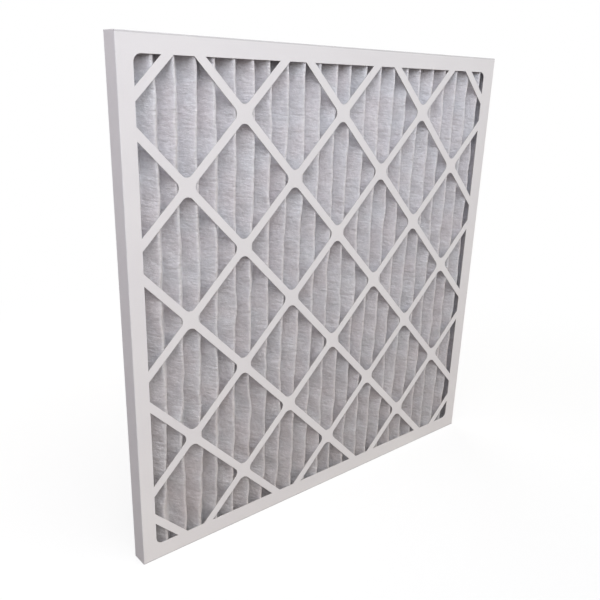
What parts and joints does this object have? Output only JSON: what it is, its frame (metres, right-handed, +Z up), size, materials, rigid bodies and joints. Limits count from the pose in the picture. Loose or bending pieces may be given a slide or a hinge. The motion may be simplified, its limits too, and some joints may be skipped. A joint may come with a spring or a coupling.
{
  "type": "pleated panel air filter",
  "caption": "Square flat air filter: pleated media with a metal grid, held between two nested die-cut board trays with a diagonal lattice face.",
  "frame": {"origin": "middle of the bottom edge, in the middle of the filter's depth", "axes": "+X across the filter, +Y from the face that the air enters to the face that it leaves, +Z up along the pleats"},
  "size_m": [0.5968, 0.0222, 0.5969],
  "materials": {
    "frame_board": "smooth coated white board, matte",
    "filter_media": "soft nonwoven, fuzzy",
    "grid_steel": "galvanized, dull",
    "adhesive": "dried white glue"
  },
  "bodies": {
    "root": {"front_frame": "frame_board", "rear_frame": "frame_board", "pleated_media": "filter_media", "support_grid": "grid_steel", "seal_top": "adhesive", "seal_bottom": "adhesive", "seal_left": "adhesive", "seal_right": "adhesive"}
  },
  "joints": []
}
